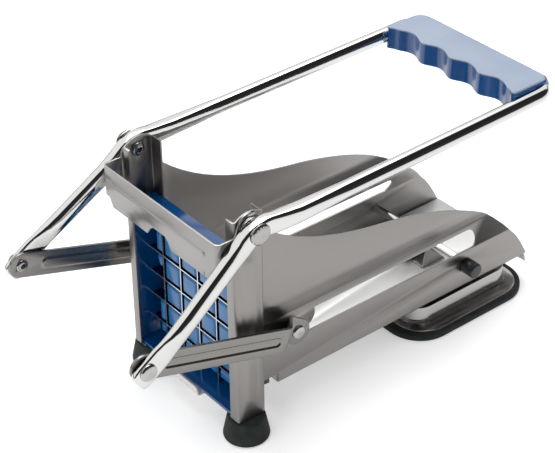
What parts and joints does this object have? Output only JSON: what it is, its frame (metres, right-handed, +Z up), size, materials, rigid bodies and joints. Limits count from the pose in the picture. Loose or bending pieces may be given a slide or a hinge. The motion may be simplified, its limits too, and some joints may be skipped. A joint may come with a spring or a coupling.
{
  "type": "potato chip cutter",
  "caption": "Counter-top potato chip cutter: bright steel trough with a blade cassette, a lever-driven stud pusher, a blue hand grip and a suction base.",
  "frame": {"origin": "on the counter, midway between the side panels, under the front rim of the suction pad, 4.5 mm behind the pad's front edge", "axes": "+X across to the side with the black knob, +Y along the trough to the rear, +Z up from the counter"},
  "size_m": [0.101, 0.2439, 0.1206],
  "materials": {
    "body_steel": "satin",
    "polished_floor": "polished",
    "band_steel": "satin",
    "rubber": "matt",
    "rivet_steel": "polished",
    "blue_plastic": "gloss",
    "blade_steel": "polished",
    "chromed_tube": "polished",
    "link_steel": "polished",
    "black_plastic": "matt"
  },
  "bodies": {
    "frame": {"side_panel_left": "body_steel", "side_panel_right": "body_steel", "floor_plate": "polished_floor", "retainer_band": "band_steel", "foot_left": "rubber", "foot_right": "rubber", "pivot_rivet_left": "rivet_steel", "pivot_rivet_right": "rivet_steel", "pivot_washer_left": "rivet_steel", "pivot_washer_right": "rivet_steel", "cassette_frame": "blue_plastic", "blade_v1": "blade_steel", "blade_v2": "blade_steel", "blade_v3": "blade_steel", "blade_v4": "blade_steel", "blade_v5": "blade_steel", "blade_h1": "blade_steel", "blade_h2": "blade_steel", "blade_h3": "blade_steel", "blade_h4": "blade_steel", "blade_h5": "blade_steel", "suction_pad": "rubber", "suction_pan": "body_steel", "pan_spacer_1": "body_steel", "pan_spacer_2": "body_steel", "pan_spacer_3": "body_steel", "pan_spacer_4": "body_steel", "cam_bracket": "body_steel"},
    "lever": {"lever_tube": "chromed_tube", "hand_grip": "blue_plastic", "joint_rivet_left": "rivet_steel", "joint_rivet_right": "rivet_steel"},
    "links": {"link_left": "link_steel", "link_right": "link_steel", "link_end_rivet_left": "rivet_steel", "link_end_rivet_right": "rivet_steel"},
    "pusher": {"stud_plate": "blue_plastic", "pusher_carrier": "body_steel", "pusher_axle": "rivet_steel", "slot_bush_left": "black_plastic", "slot_bush_right": "black_plastic"},
    "cam": {"cam_rod": "chromed_tube", "cam_knob": "black_plastic"},
    "lifter": {"pad_lifter": "body_steel"}
  },
  "joints": [
    {"name": "lever_hinge", "type": "hinge", "parent": "frame", "child": "lever", "pos_m": [0, -0.101, 0.112], "axis": [1, 0, 0], "range_deg": [0, 95]},
    {"name": "link_hinge", "type": "hinge", "parent": "lever", "child": "links", "pos_m": [0, -0.15915, 0.07322], "axis": [1, 0, 0], "range_deg": [-85.1, 0]},
    {"name": "pusher_slide", "type": "slide", "parent": "frame", "child": "pusher", "axis": [0, 1, 0], "range_m": [0, 0.1064]},
    {"name": "cam_hinge", "type": "hinge", "parent": "frame", "child": "cam", "pos_m": [0, 0.0335, 0.028], "axis": [1, 0, 0], "range_deg": [0, 90]},
    {"name": "lifter_slide", "type": "slide", "parent": "frame", "child": "lifter", "axis": [0, 0, 1], "range_m": [0, 0.00311]}
  ],
  "couplings": [
    {"joint": "link_hinge", "follows": "lever_hinge", "ratio": -0.89557},
    {"joint": "pusher_slide", "follows": "lever_hinge", "m_per_rad": 0.064063},
    {"joint": "cam_hinge", "follows": "lifter_slide", "rad_per_m": 504.87}
  ]
}
